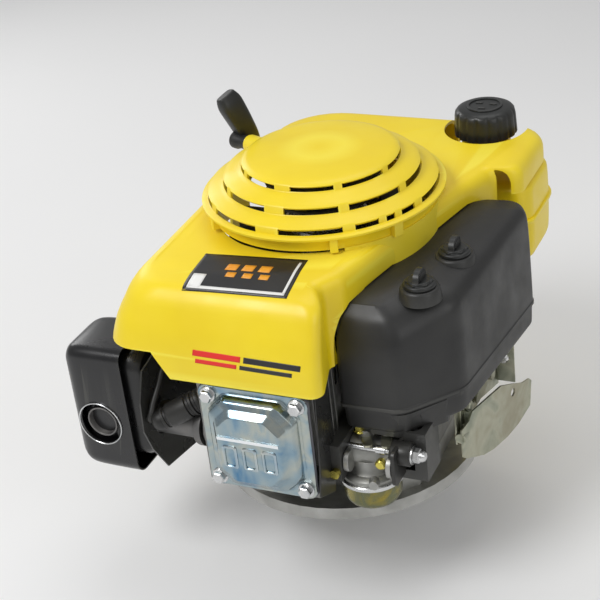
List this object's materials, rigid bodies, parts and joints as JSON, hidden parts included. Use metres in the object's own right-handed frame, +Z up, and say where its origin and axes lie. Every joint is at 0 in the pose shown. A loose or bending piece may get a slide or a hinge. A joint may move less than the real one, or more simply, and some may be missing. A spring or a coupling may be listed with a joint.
{
  "type": "small gasoline engine",
  "caption": "Single-cylinder vertical-shaft gasoline engine with shrouded flywheel fan, recoil starter, top fuel tank, side air cleaner and guarded muffler.",
  "frame": {"origin": "crankshaft axis at the mounting face under the oil pan", "axes": "+Z up along the crankshaft, -Y towards the cylinder head, +X towards the air cleaner"},
  "size_m": [0.3586, 0.4018, 0.3982],
  "materials": {
    "yellow_plastic": "moulded, satin gloss",
    "black_plastic": "moulded, fine grain",
    "black_enamel": "black heat-resistant enamel",
    "cast_aluminium": "sand cast, matt",
    "steel": "machined",
    "cast_iron": "as cast",
    "zinc_plate": "bright bluish zinc plate on pressed steel",
    "galvanised_sheet": "galvanised sheet",
    "yellow_zinc": "yellow passivated zinc plate on pressed steel",
    "black_rubber": "matt",
    "white_ceramic": "glazed ceramic",
    "filter_foam": "open-cell foam",
    "gasket_fibre": "pressed fibre",
    "rope_fibre": "braided rope"
  },
  "bodies": {
    "engine": {"air_cleaner_base": "black_plastic", "air_cleaner_cover": "black_plastic", "bowl_bolt": "yellow_zinc", "carburetor_body": "cast_aluminium", "carburetor_insulator": "black_plastic", "control_plate": "galvanised_sheet", "control_shield": "galvanised_sheet", "crankcase": "cast_aluminium", "cylinder_baffle": "black_enamel", "cylinder_head": "cast_aluminium", "drain_plug": "steel", "fan_shroud": "yellow_plastic", "filter_element": "filter_foam", "float_bowl": "yellow_zinc", "fuel_tank": "yellow_plastic", "head_gasket": "gasket_fibre", "ignition_coil": "black_plastic", "ignition_lead": "black_rubber", "lower_bearing": "steel", "muffler": "black_enamel", "muffler_guard": "black_enamel", "oil_pan": "cast_aluminium", "spark_plug": "white_ceramic", "spark_plug_cap": "black_rubber", "starter_housing": "yellow_plastic", "upper_bearing": "steel", "valve_cover": "zinc_plate", "valve_cover_bolt_1": "steel", "valve_cover_bolt_2": "steel", "valve_cover_bolt_3": "steel", "valve_cover_bolt_4": "steel"},
    "crank": {"crankshaft_lower": "steel", "crankshaft_upper": "steel", "flywheel": "cast_iron", "cooling_fan": "black_plastic", "starter_cup": "steel", "flywheel_nut": "steel"},
    "camshaft": {"camshaft": "steel"},
    "piston": {"piston": "cast_aluminium", "piston_pin": "steel"},
    "connecting_rod": {"connecting_rod": "cast_aluminium", "crank_pin": "steel"},
    "intake_rocker": {"intake_rocker": "steel"},
    "exhaust_rocker": {"exhaust_rocker": "steel"},
    "intake_valve": {"intake_valve": "steel"},
    "exhaust_valve": {"exhaust_valve": "steel"},
    "intake_pushrod": {"intake_pushrod": "steel"},
    "exhaust_pushrod": {"exhaust_pushrod": "steel"},
    "starter_handle": {"starter_handle": "black_plastic"},
    "starter_reel": {"starter_reel": "black_plastic", "starter_rope": "rope_fibre"},
    "fuel_cap_carrier": {"fuel_cap_seal": "black_rubber"},
    "fuel_cap": {"fuel_cap": "black_plastic"},
    "cover_knob_front": {"cover_knob_front": "black_plastic"},
    "cover_knob_rear": {"cover_knob_rear": "black_plastic"},
    "throttle_lever": {"throttle_lever": "galvanised_sheet"},
    "choke_lever": {"choke_lever": "galvanised_sheet"},
    "governor_arm": {"governor_arm": "galvanised_sheet"},
    "control_lever": {"control_lever": "galvanised_sheet"},
    "oil_dipstick": {"oil_dipstick": "black_plastic"}
  },
  "joints": [
    {"name": "crank_spin", "type": "hinge", "parent": "engine", "child": "crank", "pos_m": [0, 0, 0.121], "axis": [0, 0, 1], "continuous": true},
    {"name": "camshaft_spin", "type": "hinge", "parent": "engine", "child": "camshaft", "pos_m": [0.05, -0.0332, 0.1], "axis": [0, 0, 1], "continuous": true},
    {"name": "piston_stroke", "type": "slide", "parent": "engine", "child": "piston", "axis": [0, -1, 0], "range_m": [0, 0.045]},
    {"name": "rod_swing", "type": "hinge", "parent": "piston", "child": "connecting_rod", "pos_m": [0, -0.0625, 0.121], "axis": [0, 0, 1], "range_deg": [-15.3, 15.3]},
    {"name": "intake_rocker_tilt", "type": "hinge", "parent": "engine", "child": "intake_rocker", "pos_m": [0.008, -0.171, 0.136], "axis": [0, 0, -1], "range_deg": [0, 11.5]},
    {"name": "intake_valve_lift", "type": "slide", "parent": "engine", "child": "intake_valve", "axis": [0, 1, 0], "range_m": [0, 0.0032], "stiffness_N_per_m": 4000, "springref_m": -0.003},
    {"name": "intake_pushrod_lift", "type": "slide", "parent": "engine", "child": "intake_pushrod", "axis": [-0.1667, -0.986, 0], "range_m": [0, 0.0045]},
    {"name": "exhaust_rocker_tilt", "type": "hinge", "parent": "engine", "child": "exhaust_rocker", "pos_m": [0.008, -0.171, 0.106], "axis": [0, 0, -1], "range_deg": [0, 11.5]},
    {"name": "exhaust_valve_lift", "type": "slide", "parent": "engine", "child": "exhaust_valve", "axis": [0, 1, 0], "range_m": [0, 0.0032], "stiffness_N_per_m": 4000, "springref_m": -0.003},
    {"name": "exhaust_pushrod_lift", "type": "slide", "parent": "engine", "child": "exhaust_pushrod", "axis": [-0.1667, -0.986, 0], "range_m": [0, 0.0045]},
    {"name": "starter_pull", "type": "slide", "parent": "engine", "child": "starter_handle", "axis": [-0.933, 0.36, 0], "range_m": [0, 0.8], "stiffness_N_per_m": 25, "springref_m": -0.4},
    {"name": "reel_spin", "type": "hinge", "parent": "engine", "child": "starter_reel", "pos_m": [0, 0, 0.277], "axis": [0, 0, 1], "range_deg": [-1029, 0]},
    {"name": "fuel_cap_lift", "type": "slide", "parent": "engine", "child": "fuel_cap_carrier", "axis": [0, 0, 1], "range_m": [0, 0.06]},
    {"name": "fuel_cap_turn", "type": "hinge", "parent": "fuel_cap_carrier", "child": "fuel_cap", "pos_m": [0.092, 0.174, 0.268], "axis": [0, 0, 1], "range_deg": [0, 90]},
    {"name": "front_knob_turn", "type": "hinge", "parent": "engine", "child": "cover_knob_front", "pos_m": [0.119, -0.092, 0.236], "axis": [0, 0, 1], "range_deg": [0, 1800]},
    {"name": "rear_knob_turn", "type": "hinge", "parent": "engine", "child": "cover_knob_rear", "pos_m": [0.129, -0.033, 0.236], "axis": [0, 0, 1], "range_deg": [0, 1800]},
    {"name": "governor_turn", "type": "hinge", "parent": "engine", "child": "governor_arm", "pos_m": [0.114, -0.066, 0.095], "axis": [0, 0, 1], "range_deg": [-15, 5]},
    {"name": "throttle_turn", "type": "hinge", "parent": "engine", "child": "throttle_lever", "pos_m": [0.073, -0.126, 0.1], "axis": [0, 0, 1], "range_deg": [-12.6, 37.6]},
    {"name": "choke_turn", "type": "hinge", "parent": "engine", "child": "choke_lever", "pos_m": [0.094, -0.126, 0.1], "axis": [0, 0, 1], "range_deg": [-70, 0]},
    {"name": "control_turn", "type": "hinge", "parent": "engine", "child": "control_lever", "pos_m": [0.1366, 0.01, 0.092], "axis": [1, 0, 0], "range_deg": [-30, 20]},
    {"name": "dipstick_pull", "type": "slide", "parent": "engine", "child": "oil_dipstick", "axis": [-0.7809, 0, 0.6247], "range_m": [0, 0.08]}
  ],
  "couplings": [
    {"joint": "camshaft_spin", "follows": "crank_spin", "ratio": -0.5},
    {"joint": "intake_rocker_tilt", "follows": "intake_valve_lift", "rad_per_m": 62.5},
    {"joint": "intake_pushrod_lift", "follows": "intake_valve_lift", "ratio": 1.375},
    {"joint": "exhaust_rocker_tilt", "follows": "exhaust_valve_lift", "rad_per_m": 62.5},
    {"joint": "exhaust_pushrod_lift", "follows": "exhaust_valve_lift", "ratio": 1.375},
    {"joint": "reel_spin", "follows": "starter_pull", "rad_per_m": -22.42},
    {"joint": "throttle_turn", "follows": "governor_turn", "ratio": -2.5}
  ]
}
